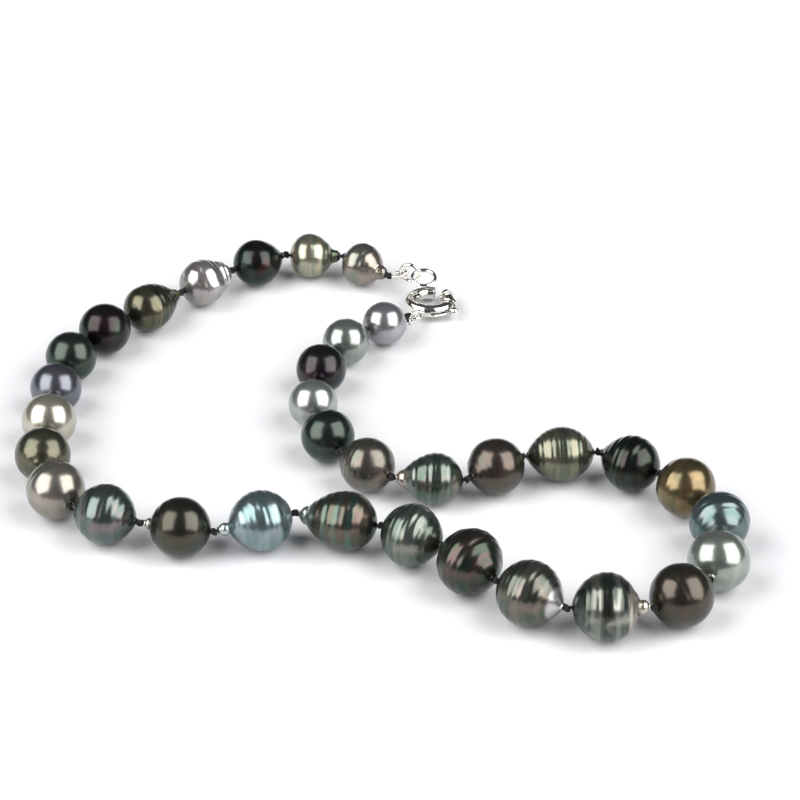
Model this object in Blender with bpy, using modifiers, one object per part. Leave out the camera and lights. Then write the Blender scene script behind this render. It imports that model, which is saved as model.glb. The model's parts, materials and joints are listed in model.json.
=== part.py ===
"""A graduated strand of 33 baroque pearls, knotted on silk and closed by a bolt-ring clasp.

Metres, +Z up. The strand lies on the plane z = 0, and the origin is under the middle of its
bounding box. Pearls are numbered along the strand: pearl 1 carries the loose rings that the
clasp catches, and pearl 33 carries the clasp. Each pearl has a low end, towards pearl 1, and a
high end, towards pearl 33.
"""

import math

import bmesh
import bpy
from mathutils import Matrix, Vector

# ---------------------------------------------------------------- the strand (metres)
PEARL_SCALE = 1.0  # one factor on every pearl's diameter and length
KNOT_GAP = 0.0014  # from one pearl's end to the next, along the cord
BORE_RADIUS = 0.0005  # the drilled hole through each pearl
BORE_LIP = 0.00012  # flat rim round each mouth of the hole
CORD_RADIUS = 0.00024
KNOT_RADIUS = 0.00085
KNOT_HALF_LENGTH = 0.00055
KNOT_SHOULDER = (0.66, 0.74)  # shares of the knot's half length and of its radius
PEARL_SIDES = 12
OUTLINE_STEPS = (20.0, 45.0, 70.0)  # degrees from the widest ring, where the outline has points
NIB_STEP = 0.35  # share of a nib's radius where it has its first ring
ROOT = 17  # the pearl that the rest of the strand is laid out from
ROOT_HEADING = 310.0  # degrees from +X, the way from its low end to its high end

# Each pearl: diameter and length in mm, where along the length it is widest (0 at the low end),
# how far the low and the high end run out to a point (0 round, 1 a cone), a nib at the low or
# the high end (radius and reach in mm), the turn of the cord at the knot after it in degrees,
# and its base colour.
PEARLS = (
    (7.7, 8.9, 0.60, 0.9, 0.0, None, None, 37, (0.30, 0.24, 0.20)),
    (7.9, 9.0, 0.57, 0.7, 0.0, None, None, 31, (0.50, 0.42, 0.25)),
    (8.3, 9.5, 0.54, 0.5, 0.1, None, None, 11, (0.012, 0.018, 0.019)),
    (8.2, 10.0, 0.50, 0.0, 0.0, (2.7, 1.9), None, 3, (0.42, 0.41, 0.41)),
    (8.3, 11.4, 0.62, 1.0, 0.0, None, None, 6, (0.12, 0.11, 0.055)),
    (9.0, 9.1, 0.50, 0.0, 0.0, None, None, 19, (0.015, 0.015, 0.018)),
    (8.8, 8.8, 0.50, 0.0, 0.0, None, None, 21, (0.035, 0.055, 0.045)),
    (8.8, 8.7, 0.50, 0.0, 0.0, None, None, -4, (0.14, 0.145, 0.19)),
    (9.3, 9.1, 0.50, 0.0, 0.0, None, None, 6, (0.52, 0.47, 0.36)),
    (9.4, 9.4, 0.48, 0.0, 0.3, None, None, 28, (0.11, 0.105, 0.06)),
    (9.9, 10.1, 0.50, 0.1, 0.1, None, None, 40, (0.32, 0.27, 0.22)),
    (10.2, 11.0, 0.50, 0.3, 0.5, None, None, 9, (0.10, 0.16, 0.15)),
    (10.1, 11.1, 0.52, 0.1, 0.1, (1.0, 0.9), None, 34, (0.055, 0.050, 0.035)),
    (10.2, 12.7, 0.52, 0.3, 0.1, (1.1, 1.7), None, -37, (0.22, 0.31, 0.35)),
    (10.0, 13.1, 0.62, 1.0, 0.1, None, None, -15, (0.085, 0.070, 0.045)),
    (10.6, 10.7, 0.47, 0.1, 0.5, None, None, -20, (0.12, 0.20, 0.16)),
    (11.2, 11.3, 0.48, 0.1, 0.5, None, None, 16, (0.075, 0.048, 0.043)),
    (11.0, 12.0, 0.45, 0.1, 0.8, None, None, 34, (0.19, 0.20, 0.16)),
    (11.4, 12.4, 0.50, 0.1, 0.1, None, (0.9, 0.9), 40, (0.17, 0.19, 0.15)),
    (10.5, 10.5, 0.50, 0.0, 0.0, None, None, 32, (0.075, 0.055, 0.042)),
    (10.3, 10.5, 0.50, 0.0, 0.1, (0.8, 0.5), None, 28, (0.36, 0.40, 0.34)),
    (10.1, 10.1, 0.50, 0.1, 0.1, None, None, 34, (0.12, 0.18, 0.19)),
    (10.1, 10.2, 0.50, 0.1, 0.2, None, None, 12, (0.22, 0.14, 0.04)),
    (9.6, 10.7, 0.45, 0.1, 0.7, None, None, 40, (0.017, 0.018, 0.017)),
    (9.3, 11.4, 0.47, 0.2, 0.4, None, None, 30, (0.19, 0.19, 0.11)),
    (9.6, 10.0, 0.48, 0.0, 0.35, None, None, -39, (0.095, 0.070, 0.055)),
    (8.9, 11.1, 0.41, 0.1, 1.1, None, None, -38, (0.13, 0.20, 0.16)),
    (9.3, 10.2, 0.46, 0.1, 0.5, None, None, -25, (0.16, 0.125, 0.10)),
    (9.1, 9.8, 0.45, 0.0, 0.5, None, None, -22, (0.032, 0.06, 0.05)),
    (8.4, 9.1, 0.45, 0.0, 0.4, None, None, -18, (0.38, 0.42, 0.38)),
    (8.6, 9.0, 0.50, 0.0, 0.1, None, None, -19, (0.028, 0.027, 0.032)),
    (8.1, 8.2, 0.50, 0.0, 0.0, None, None, -24, (0.31, 0.35, 0.31)),
    (7.6, 7.7, 0.50, 0.0, 0.0, None, None, 0, (0.38, 0.38, 0.41)),
)

# ---------------------------------------------------------------- the clasp and its rings
GIMP_RADIUS = 0.0004  # French wire: a fine metal coil that the end of the cord runs through
GIMP_WALL = 0.00012
LOOP_CORD_RADIUS = 0.00016
GIMP_START = 0.0010  # from the last knot's centre to the mouths of the loop
GIMP_MOUTH = 0.00062  # half the distance between the two mouths
GIMP_EYE_RADIUS = 0.00095
GIMP_EYE_PLACE = 0.0025  # from the last knot's centre to the middle of the eye
GIMP_DROP = 38.0  # degrees that the clasp's loop slopes down towards the table

END_RING_RADIUS = 0.00165
HOOK_RING_RADIUS = 0.00205
RING_WIRE_RADIUS = 0.00035
LINK_PLAY = 0.0002  # slack between two linked wires
HOOK_RING_TILT = 10.0  # degrees, its far side up
RING_CLEAR = 0.0002  # from the highest point of the clasp's tube to the end ring above it

CLASP_RADIUS = 0.0034  # centre of the ring to the middle of its tube
TUBE_RADIUS = 0.0011
TUBE_BORE = 0.00075
MOUTH = (-58.0, -22.0)  # degrees round the clasp, 0 opposite the eyelet
CHANNEL_END = 155.0  # where the drilled channel for bolt and spring stops
SOCKET_DEPTH = 20.0  # degrees
CUT_MARGIN = 3.0  # degrees that a cutter runs out past the mouth
HOOK_POINT = 48.0  # where the hook ring lies over the tube
COLLAR_LENGTH = 12.0  # degrees
COLLAR_INSET = 1.0  # degrees back from the mouth
COLLAR_GAP = 0.0001
COLLAR_WALL = 0.00025
EYELET_RADIUS = 0.00105
EYELET_WIRE = 0.0003
EYELET_GAP = 0.0001
BOLT_RADIUS = 0.00055
BOLT_REACH = 8.0  # degrees of the bolt inside the socket when it is shut
BOLT_BACK = -112.0
LEVER_PLACE = -100.0
LEVER_STEM_RADIUS = 0.0003
LEVER_BALL_RADIUS = 0.0008
LEVER_REACH = 0.0019  # from the middle of the tube to the middle of the ball
TRIGGER_TRAVEL = 44.0  # degrees that the bolt slides back
SLOT_HALF_HEIGHT = 0.00045
SLOT_MARGIN = 8.0  # degrees of slot past the stem at each end
SPRING_RADIUS = 0.0005
SPRING_WIRE_RADIUS = 0.0001
SPRING_TURNS = 7
SPRING_END_GAP = 2.0  # degrees

SILVER = (0.82, 0.80, 0.76)
STEEL = (0.55, 0.55, 0.55)
SILK = (0.012, 0.012, 0.013)


UP = Vector((0.0, 0.0, 1.0))


# ---------------------------------------------------------------- scene helpers
def clear_scene():
    for old in list(bpy.data.objects):
        bpy.data.objects.remove(old, do_unlink=True)


def new_collection(name):
    made = bpy.data.collections.new(name)
    bpy.context.scene.collection.children.link(made)
    return made


def new_material(name, colour, roughness, metallic):
    made = bpy.data.materials.new(name)
    made.use_nodes = True
    shader = made.node_tree.nodes["Principled BSDF"]
    shader.inputs["Base Color"].default_value = (*colour, 1.0)
    shader.inputs["Roughness"].default_value = roughness
    shader.inputs["Metallic"].default_value = metallic
    return made


def add_object(name, data, collection, material=None):
    made = bpy.data.objects.new(name, data)
    collection.objects.link(made)
    if material:
        data.materials.append(material)
    return made


def make_cutter(obj):
    obj.hide_render = True
    obj.display_type = "WIRE"


def along(angle):
    return Vector((math.cos(math.radians(angle)), math.sin(math.radians(angle)), 0.0))


def arc_points(radius, start, end, step=12.0):
    """Points of an arc about the origin of the XY plane, angles in degrees."""
    count = max(2, math.ceil(abs(end - start) / step) + 1)
    return [along(start + (end - start) * i / (count - 1)) * radius for i in range(count)]


def tube_curve(name, points, radius, collection, resolution, capped=True, swell=None):
    """A POLY curve with a round section. swell holds each point's share of the radius."""
    data = bpy.data.curves.new(name, "CURVE")
    data.dimensions = "3D"
    data.bevel_depth = radius
    data.bevel_resolution = resolution
    data.use_fill_caps = capped
    spline = data.splines.new("POLY")
    spline.points.add(len(points) - 1)
    for i, place in enumerate(points):
        spline.points[i].co = (*place, 1.0)
        spline.points[i].radius = swell[i] if swell else 1.0
    return add_object(name, data, collection)


def curve_to_mesh(curve, material=None):
    """Swaps a curve object for a mesh object of the same name, with its caps welded."""
    graph = bpy.context.evaluated_depsgraph_get()
    mesh = bpy.data.meshes.new_from_object(curve.evaluated_get(graph))
    work = bmesh.new()
    work.from_mesh(mesh)
    bmesh.ops.remove_doubles(work, verts=work.verts, dist=1e-7)
    bmesh.ops.recalc_face_normals(work, faces=work.faces)
    work.to_mesh(mesh)
    work.free()
    name = curve.name
    collection = curve.users_collection[0]
    matrix = curve.matrix_world.copy()
    bpy.data.objects.remove(curve, do_unlink=True)
    made = add_object(name, mesh, collection, material)
    made.matrix_world = matrix
    mesh.shade_smooth()
    return made


def boolean(obj, other, operation="DIFFERENCE"):
    modifier = obj.modifiers.new(operation.title(), "BOOLEAN")
    modifier.operation = operation
    modifier.solver = "EXACT"
    modifier.object = other


def solidify(obj, wall):
    """Thickens an open surface, inwards if wall is positive."""
    modifier = obj.modifiers.new("Wall", "SOLIDIFY")
    modifier.thickness = abs(wall)
    modifier.offset = math.copysign(1.0, -wall)


def torus(name, radius, wire, collection, material, segments=20):
    bpy.ops.mesh.primitive_torus_add(
        major_radius=radius, minor_radius=wire, major_segments=segments, minor_segments=8
    )
    made = bpy.context.object
    made.name = name
    made.data.name = name
    for old in made.users_collection:
        old.objects.unlink(made)
    collection.objects.link(made)
    made.data.materials.append(material)
    made.data.shade_smooth()
    return made


# ---------------------------------------------------------------- laying out the strand
class Pearl:
    """One row of PEARLS in metres, with its place on the table."""

    def __init__(self, number, row):
        self.number = number
        self.name = f"pearl_{number:02d}"
        self.radius = row[0] / 2000 * PEARL_SCALE
        self.length = row[1] / 1000 * PEARL_SCALE
        self.belly, self.low_point, self.high_point = row[2:5]
        self.low_nib = tuple(v / 1000 * PEARL_SCALE for v in row[5] or (0.0, 0.0))
        self.high_nib = tuple(v / 1000 * PEARL_SCALE for v in row[6] or (0.0, 0.0))
        self.turn = row[7]
        self.colour = row[8]
        self.heading = 0.0
        self.centre = Vector()

    def outline(self, x):
        """The pearl's radius at x along its length, 0 at the low end."""
        low = self.low_nib[1]
        body = self.length - low - self.high_nib[1]
        widest = low + body * self.belly
        if x < widest:
            share = (widest - x) / (widest - low)
            point = self.low_point
        else:
            share = (x - widest) / (body * (1.0 - self.belly))
            point = self.high_point
        radius = self.radius * max(0.0, 1.0 - share * share) ** (0.5 + 0.5 * point)
        for size, middle in (
            (self.low_nib[0], self.low_nib[0]),
            (self.high_nib[0], self.length - self.high_nib[0]),
        ):
            radius = max(radius, math.sqrt(max(0.0, size * size - (x - middle) ** 2)))
        return max(radius, BORE_RADIUS + BORE_LIP)

    def stations(self):
        """Where the turned outline has its points, low end first."""
        low = self.low_nib[1]
        high = self.length - self.high_nib[1]
        widest = low + (high - low) * self.belly
        places = {0.0, self.length, widest}
        for step in OUTLINE_STEPS:
            reach = math.sin(math.radians(step))
            places.add(widest - (widest - low) * reach)
            places.add(widest + (high - widest) * reach)
        if self.low_nib[0]:
            places.add(self.low_nib[0] * NIB_STEP)
            places.add(self.low_nib[0])
        if self.high_nib[0]:
            places.add(self.length - self.high_nib[0] * NIB_STEP)
            places.add(self.length - self.high_nib[0])
        return sorted(places)

    def reach(self, angle):
        """How far the pearl reaches from the origin along this heading."""
        off = math.radians(angle - self.heading)
        spread = [
            (x - self.length / 2) * math.cos(off) + self.outline(x) * abs(math.sin(off))
            for x in self.stations()
        ]
        return self.centre.dot(along(angle)) + max(spread)

    def end(self, side):
        """The mouth of the bore at the low (-1) or the high (+1) end."""
        return self.centre + along(self.heading) * (side * self.length / 2)

    def knot(self, side):
        """The middle of the knot beyond that end."""
        reach = (self.length + KNOT_GAP) / 2
        return self.centre + along(self.heading) * (side * reach)


def lay_out_strand():
    """Walks out from the root pearl both ways, turning at each knot."""
    pearls = [Pearl(i + 1, row) for i, row in enumerate(PEARLS)]
    root = pearls[ROOT - 1]
    root.heading = ROOT_HEADING
    root.centre = Vector((0.0, 0.0, root.radius))
    for i in range(ROOT, len(pearls)):
        before, pearl = pearls[i - 1], pearls[i]
        pearl.heading = before.heading + before.turn
        pearl.centre = before.knot(1) + along(pearl.heading) * (pearl.length + KNOT_GAP) / 2
        pearl.centre.z = pearl.radius
    for i in range(ROOT - 2, -1, -1):
        after, pearl = pearls[i + 1], pearls[i]
        pearl.heading = after.heading - pearl.turn
        pearl.centre = after.knot(-1) - along(pearl.heading) * (pearl.length + KNOT_GAP) / 2
        pearl.centre.z = pearl.radius
    middle = [
        (max(p.reach(a) for p in pearls) - max(p.reach(a + 180.0) for p in pearls)) / 2
        for a in (0.0, 90.0)
    ]
    for pearl in pearls:
        pearl.centre -= Vector((*middle, 0.0))
    return pearls


class Closure:
    """Where the two ends of the strand meet: the clasp's frame, the rings and the gimp loops."""

    def __init__(self, pearls):
        self.catch_end = pearls[0].knot(-1)
        self.clasp_end = pearls[-1].knot(1)
        eye_to_clasp = EYELET_RADIUS * 2 + EYELET_WIRE + EYELET_GAP + TUBE_RADIUS + CLASP_RADIUS
        collar = TUBE_RADIUS + COLLAR_GAP + COLLAR_WALL
        eye_reach = GIMP_EYE_PLACE * math.cos(math.radians(GIMP_DROP))
        eye_height = self.clasp_end.z - GIMP_EYE_PLACE * math.sin(math.radians(GIMP_DROP))
        self.tilt = math.asin((eye_height - collar) / (eye_to_clasp + CLASP_RADIUS))
        level_reach = eye_reach + eye_to_clasp * math.cos(self.tilt)
        self.clasp_height = eye_height - math.sin(self.tilt) * eye_to_clasp
        tube_top = self.clasp_height + math.sin(self.tilt) * CLASP_RADIUS + TUBE_RADIUS
        self.end_ring_height = tube_top + RING_CLEAR + END_RING_RADIUS + RING_WIRE_RADIUS
        to_end_ring = GIMP_EYE_PLACE + END_RING_RADIUS
        self.rise = math.asin((self.end_ring_height - self.catch_end.z) / to_end_ring)
        link = (END_RING_RADIUS - 2 * RING_WIRE_RADIUS - LINK_PLAY) * math.sqrt(0.5)
        hook = Vector((level_reach, 0.0, 0.0)) + along(HOOK_POINT) * CLASP_RADIUS
        to_hook = hook.length
        self.end_ring_reach = to_end_ring * math.cos(self.rise)
        self.link_reach = self.end_ring_reach + link
        from_catch = self.link_reach + HOOK_RING_RADIUS
        between = self.catch_end - self.clasp_end
        between.z = 0.0
        span = between.length
        cosine = (span**2 + to_hook**2 - from_catch**2) / (2 * span * to_hook)
        corner = math.degrees(math.acos(max(-1.0, min(1.0, cosine))))
        facing = math.degrees(math.atan2(between.y, between.x)) - corner
        self.clasp_heading = facing - math.degrees(math.atan2(hook.y, hook.x))
        flat_end = Vector((self.clasp_end.x, self.clasp_end.y, 0.0))
        self.hook_centre = flat_end + along(facing) * to_hook
        away = self.hook_centre - self.catch_end
        self.catch_heading = math.degrees(math.atan2(away.y, away.x))
        self.clasp_centre = self.clasp_end + along(self.clasp_heading) * level_reach
        self.clasp_centre.z = self.clasp_height
        self.hook_centre.z = self.end_ring_height - link
        turn = Matrix.Rotation(math.radians(self.clasp_heading), 4, "Z")
        lean = Matrix.Rotation(self.tilt, 4, "Y")
        self.clasp_matrix = Matrix.Translation(self.clasp_centre) @ turn @ lean
        self.catch_loop = (self.catch_end, self.catch_heading, self.rise, False)
        self.clasp_loop = (self.clasp_end, self.clasp_heading, -math.radians(GIMP_DROP), True)


# ---------------------------------------------------------------- pearls and cord
def build_pearl(pearl, collection):
    """A turned outline with its drilled bore. The profile runs down its outer side, then up the bore."""
    heights = [x - pearl.length / 2 for x in pearl.stations()]
    outer = [(pearl.outline(z + pearl.length / 2), 0.0, z) for z in reversed(heights)]
    bore = [(BORE_RADIUS, 0.0, heights[0]), (BORE_RADIUS, 0.0, heights[-1])]
    points = outer + bore
    mesh = bpy.data.meshes.new(pearl.name)
    count = len(points)
    mesh.from_pydata(points, [(i, (i + 1) % count) for i in range(count)], [])
    material = new_material(pearl.name, pearl.colour, 0.22, 0.35)
    made = add_object(pearl.name, mesh, collection, material)
    screw = made.modifiers.new("Turn", "SCREW")
    screw.steps = PEARL_SIDES
    screw.render_steps = PEARL_SIDES
    screw.use_smooth_shade = True
    made.rotation_euler = (0.0, math.pi / 2, math.radians(pearl.heading))
    made.location = pearl.centre
    return made


def knot_points(before, after, knot, forward, backward):
    """Five points of one knot, with the swell of each. The cord turns at the middle one."""
    shoulder = KNOT_HALF_LENGTH * KNOT_SHOULDER[0]
    points = [
        knot - backward * KNOT_HALF_LENGTH,
        knot - backward * shoulder,
        knot,
        knot + forward * shoulder,
        knot + forward * KNOT_HALF_LENGTH,
    ]
    thick = KNOT_RADIUS / CORD_RADIUS
    slope = thick * KNOT_SHOULDER[1]
    swell = [1.0, slope, thick, slope, 1.0]
    points[0].z = before
    points[-1].z = after
    return points, swell


def loop_route(start, heading, slope, on_edge):
    """The middle line of a gimp loop, from one mouth round the eye to the other mouth.

    It slopes up by that angle, in radians, and either lies on its side or stands on edge.
    """
    outward = along(heading) * math.cos(slope) + UP * math.sin(slope)
    aside = along(heading + 90.0)
    if on_edge:
        aside = outward.cross(aside)
    eye = start + outward * GIMP_EYE_PLACE
    route = [start + outward * GIMP_START - aside * GIMP_MOUTH]
    for angle in range(-135, 136, 30):
        turned = math.radians(angle)
        sweep = outward * math.cos(turned) + aside * math.sin(turned)
        route.append(eye + sweep * GIMP_EYE_RADIUS)
    route.append(start + outward * GIMP_START + aside * GIMP_MOUTH)
    return route


def build_cord(pearls, closure, collection, material):
    """One silk cord through every pearl, thick at each knot, with a thin loop at each end."""
    thin = LOOP_CORD_RADIUS / CORD_RADIUS
    points = []
    swell = []

    def add(new_points, new_swell):
        points.extend(new_points)
        swell.extend(new_swell)

    catch_loop = loop_route(*closure.catch_loop)
    add(reversed(catch_loop), [thin] * len(catch_loop))
    first = pearls[0]
    inward = along(first.heading)
    outward = along(closure.catch_heading)
    add(*knot_points(first.radius, first.radius, first.knot(-1), inward, -outward))
    for i, pearl in enumerate(pearls):
        add([pearl.end(-1), pearl.end(1)], [1.0, 1.0])
        if i + 1 == len(pearls):
            break
        after = pearls[i + 1]
        knot = pearl.knot(1)
        knot.z = (pearl.radius + after.radius) / 2
        add(*knot_points(pearl.radius, after.radius, knot, along(after.heading), along(pearl.heading)))
    last = pearls[-1]
    outward = along(closure.clasp_heading)
    add(*knot_points(last.radius, last.radius, last.knot(1), outward, along(last.heading)))
    clasp_loop = loop_route(*closure.clasp_loop)
    add(clasp_loop, [thin] * len(clasp_loop))
    cord = tube_curve("silk_cord", points, CORD_RADIUS, collection, 1, swell=swell)
    return curve_to_mesh(cord, material)


def build_gimp(name, loop, collection, material):
    route = loop_route(*loop)
    curve = tube_curve(name, route, GIMP_RADIUS, collection, 2, capped=False)
    made = curve_to_mesh(curve, material)
    solidify(made, GIMP_WALL)
    return made


# ---------------------------------------------------------------- rings and clasp
def build_rings(closure, collection, material):
    outward = along(closure.catch_heading)
    end_ring = torus("end_ring", END_RING_RADIUS, RING_WIRE_RADIUS, collection, material)
    end_ring.location = closure.catch_end + outward * closure.end_ring_reach
    end_ring.location.z = closure.end_ring_height
    end_ring.rotation_euler = (math.pi / 2, 0.0, math.radians(closure.catch_heading))
    hook_ring = torus("hook_ring", HOOK_RING_RADIUS, RING_WIRE_RADIUS, collection, material, 24)
    hook_ring.location = closure.hook_centre
    hook_ring.rotation_euler = (math.radians(HOOK_RING_TILT), 0.0, 0.0)


def cut_arc(target, name, radius, start, end, cutters):
    curve = tube_curve(name, arc_points(CLASP_RADIUS, start, end), radius, cutters, 3)
    cutter = curve_to_mesh(curve)
    make_cutter(cutter)
    boolean(target, cutter)
    return cutter


def build_tube(collection, cutters, material):
    """The clasp's hollow ring: a channel for bolt and spring, a socket, and the lever's slot."""
    route = arc_points(CLASP_RADIUS, MOUTH[1], MOUTH[0] + 360.0)
    tube = curve_to_mesh(tube_curve("clasp_tube", route, TUBE_RADIUS, collection, 4), material)
    channel_mouth = MOUTH[0] + 360.0 + CUT_MARGIN
    channel = cut_arc(tube, "cut_channel", TUBE_BORE, CHANNEL_END, channel_mouth, cutters)
    socket_end = MOUTH[1] + SOCKET_DEPTH
    socket = cut_arc(tube, "cut_socket", TUBE_BORE, MOUTH[1] - CUT_MARGIN, socket_end, cutters)
    slot_start = LEVER_PLACE - TRIGGER_TRAVEL - SLOT_MARGIN
    slot_end = LEVER_PLACE + SLOT_MARGIN
    inside = arc_points(CLASP_RADIUS, slot_start, slot_end, 6.0)
    outside = arc_points(CLASP_RADIUS + 2 * TUBE_RADIUS, slot_end, slot_start, 6.0)
    outline = inside + outside
    data = bpy.data.curves.new("cut_slot", "CURVE")
    data.dimensions = "2D"
    data.fill_mode = "BOTH"
    data.extrude = SLOT_HALF_HEIGHT
    spline = data.splines.new("POLY")
    spline.use_cyclic_u = True
    spline.points.add(len(outline) - 1)
    for i, place in enumerate(outline):
        spline.points[i].co = (*place, 1.0)
    slot = curve_to_mesh(add_object("cut_slot", data, cutters))
    make_cutter(slot)
    boolean(tube, slot)
    return [tube, channel, socket, slot]


def build_bolt(collection, cutters, material):
    """The curved bolt with its lever and ball, as one piece."""
    route = arc_points(CLASP_RADIUS, BOLT_BACK, MOUTH[1] + BOLT_REACH, 8.0)
    bolt = curve_to_mesh(tube_curve("clasp_bolt", route, BOLT_RADIUS, collection, 2), material)
    outward = along(LEVER_PLACE)
    ball_place = outward * (CLASP_RADIUS + LEVER_REACH)
    stem_route = [outward * CLASP_RADIUS, ball_place]
    stem = curve_to_mesh(tube_curve("join_stem", stem_route, LEVER_STEM_RADIUS, cutters, 2))
    mesh = bpy.data.meshes.new("join_ball")
    work = bmesh.new()
    bmesh.ops.create_uvsphere(work, u_segments=12, v_segments=8, radius=LEVER_BALL_RADIUS)
    work.to_mesh(mesh)
    work.free()
    ball = add_object("join_ball", mesh, cutters)
    ball.location = ball_place
    for piece in (stem, ball):
        make_cutter(piece)
        boolean(bolt, piece, "UNION")
    return [bolt, stem, ball]


def build_spring(collection, material):
    """A coil laid along the channel, between the bolt's back end and the channel's end."""
    start = CHANNEL_END - 360.0 + SPRING_END_GAP
    end = BOLT_BACK - SPRING_END_GAP
    steps = SPRING_TURNS * 8
    points = []
    for i in range(steps + 1):
        share = i / steps
        outward = along(start + (end - start) * share)
        turned = 2 * math.pi * SPRING_TURNS * share
        rise = Vector((0.0, 0.0, math.sin(turned) * SPRING_RADIUS))
        points.append(outward * (CLASP_RADIUS + math.cos(turned) * SPRING_RADIUS) + rise)
    curve = tube_curve("clasp_spring", points, SPRING_WIRE_RADIUS, collection, 1)
    return curve_to_mesh(curve, material)


def build_collar(name, start, end, collection, material):
    """A plain sleeve round the tube beside the mouth."""
    inner = TUBE_RADIUS + COLLAR_GAP
    route = arc_points(CLASP_RADIUS, start, end, 6.0)
    curve = tube_curve(name, route, inner, collection, 4, capped=False)
    made = curve_to_mesh(curve, material)
    solidify(made, -COLLAR_WALL)
    return made


def build_clasp(closure, collection, cutters, silver, steel):
    frame = bpy.data.objects.new("clasp_frame", None)
    collection.objects.link(frame)
    frame.matrix_world = closure.clasp_matrix
    pieces = build_tube(collection, cutters, silver)
    pieces += build_bolt(collection, cutters, silver)
    pieces.append(build_spring(collection, steel))
    start = MOUTH[1] + COLLAR_INSET
    pieces.append(build_collar("socket_collar", start, start + COLLAR_LENGTH, collection, silver))
    end = MOUTH[0] + 360.0 - COLLAR_INSET
    pieces.append(build_collar("mouth_collar", end - COLLAR_LENGTH, end, collection, silver))
    eyelet = torus("clasp_eyelet", EYELET_RADIUS, EYELET_WIRE, collection, silver, 16)
    reach = CLASP_RADIUS + TUBE_RADIUS + EYELET_GAP + EYELET_RADIUS + EYELET_WIRE
    eyelet.location = (-reach, 0.0, 0.0)
    pieces.append(eyelet)
    for piece in pieces:
        piece.parent = frame


def main():
    clear_scene()
    collection = new_collection("pearl_necklace")
    cutters = new_collection("cutters")
    silver = new_material("polished_silver", SILVER, 0.12, 1.0)
    steel = new_material("spring_steel", STEEL, 0.25, 1.0)
    silk = new_material("black_silk", SILK, 0.75, 0.0)
    pearls = lay_out_strand()
    closure = Closure(pearls)
    for pearl in pearls:
        build_pearl(pearl, collection)
    build_cord(pearls, closure, collection, silk)
    build_gimp("gimp_catch", closure.catch_loop, collection, silver)
    build_gimp("gimp_clasp", closure.clasp_loop, collection, silver)
    build_rings(closure, collection, silver)
    build_clasp(closure, collection, cutters, silver, steel)


if __name__ == "__main__":
    main()
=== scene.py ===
"""Looks for a graduated strand of circled pearls, knotted on silk and closed by a bolt ring.

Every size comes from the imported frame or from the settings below, in metres. A pearl's low end
faces pearl 1, which carries the loose rings, and its high end faces pearl 33, which carries the
clasp.
"""

import json
import math

import bmesh
import bpy
from mathutils import Matrix, Vector


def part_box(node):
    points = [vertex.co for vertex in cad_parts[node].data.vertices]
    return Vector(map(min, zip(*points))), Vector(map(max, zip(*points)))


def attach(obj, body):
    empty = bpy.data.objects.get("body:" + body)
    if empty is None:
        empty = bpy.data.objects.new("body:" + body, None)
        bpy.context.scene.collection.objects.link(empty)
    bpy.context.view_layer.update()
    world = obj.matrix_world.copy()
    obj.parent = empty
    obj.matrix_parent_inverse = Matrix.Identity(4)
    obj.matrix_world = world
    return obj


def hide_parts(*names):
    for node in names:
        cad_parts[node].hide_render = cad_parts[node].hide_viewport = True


bl_info = {
    "name": "Circled Pearl Strand",
    "version": (1, 0, 0),
    "blender": (4, 5, 0),
    "location": "View3D > Sidebar > Pearls",
    "description": "Models a knotted strand of circled pearls and its bolt-ring clasp",
    "category": "Add Mesh",
}

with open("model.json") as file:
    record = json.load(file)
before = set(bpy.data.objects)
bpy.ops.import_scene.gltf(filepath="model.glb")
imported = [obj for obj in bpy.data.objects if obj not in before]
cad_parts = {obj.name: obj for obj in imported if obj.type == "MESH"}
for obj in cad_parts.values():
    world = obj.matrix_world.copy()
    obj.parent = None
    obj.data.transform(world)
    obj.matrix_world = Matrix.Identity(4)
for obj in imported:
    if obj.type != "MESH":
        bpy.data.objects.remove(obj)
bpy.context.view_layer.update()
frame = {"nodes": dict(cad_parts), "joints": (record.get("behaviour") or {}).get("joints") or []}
JOINTS = {joint["name"]: joint for joint in frame["joints"]}

MM = 0.001
UP = Vector((0.0, 0.0, 1.0))
FIRST_TURN = math.radians(37.0)  # the cord's turn between pearls 1 and 2
LAST_TURN = math.radians(-24.0)  # and between pearls 32 and 33

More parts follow.
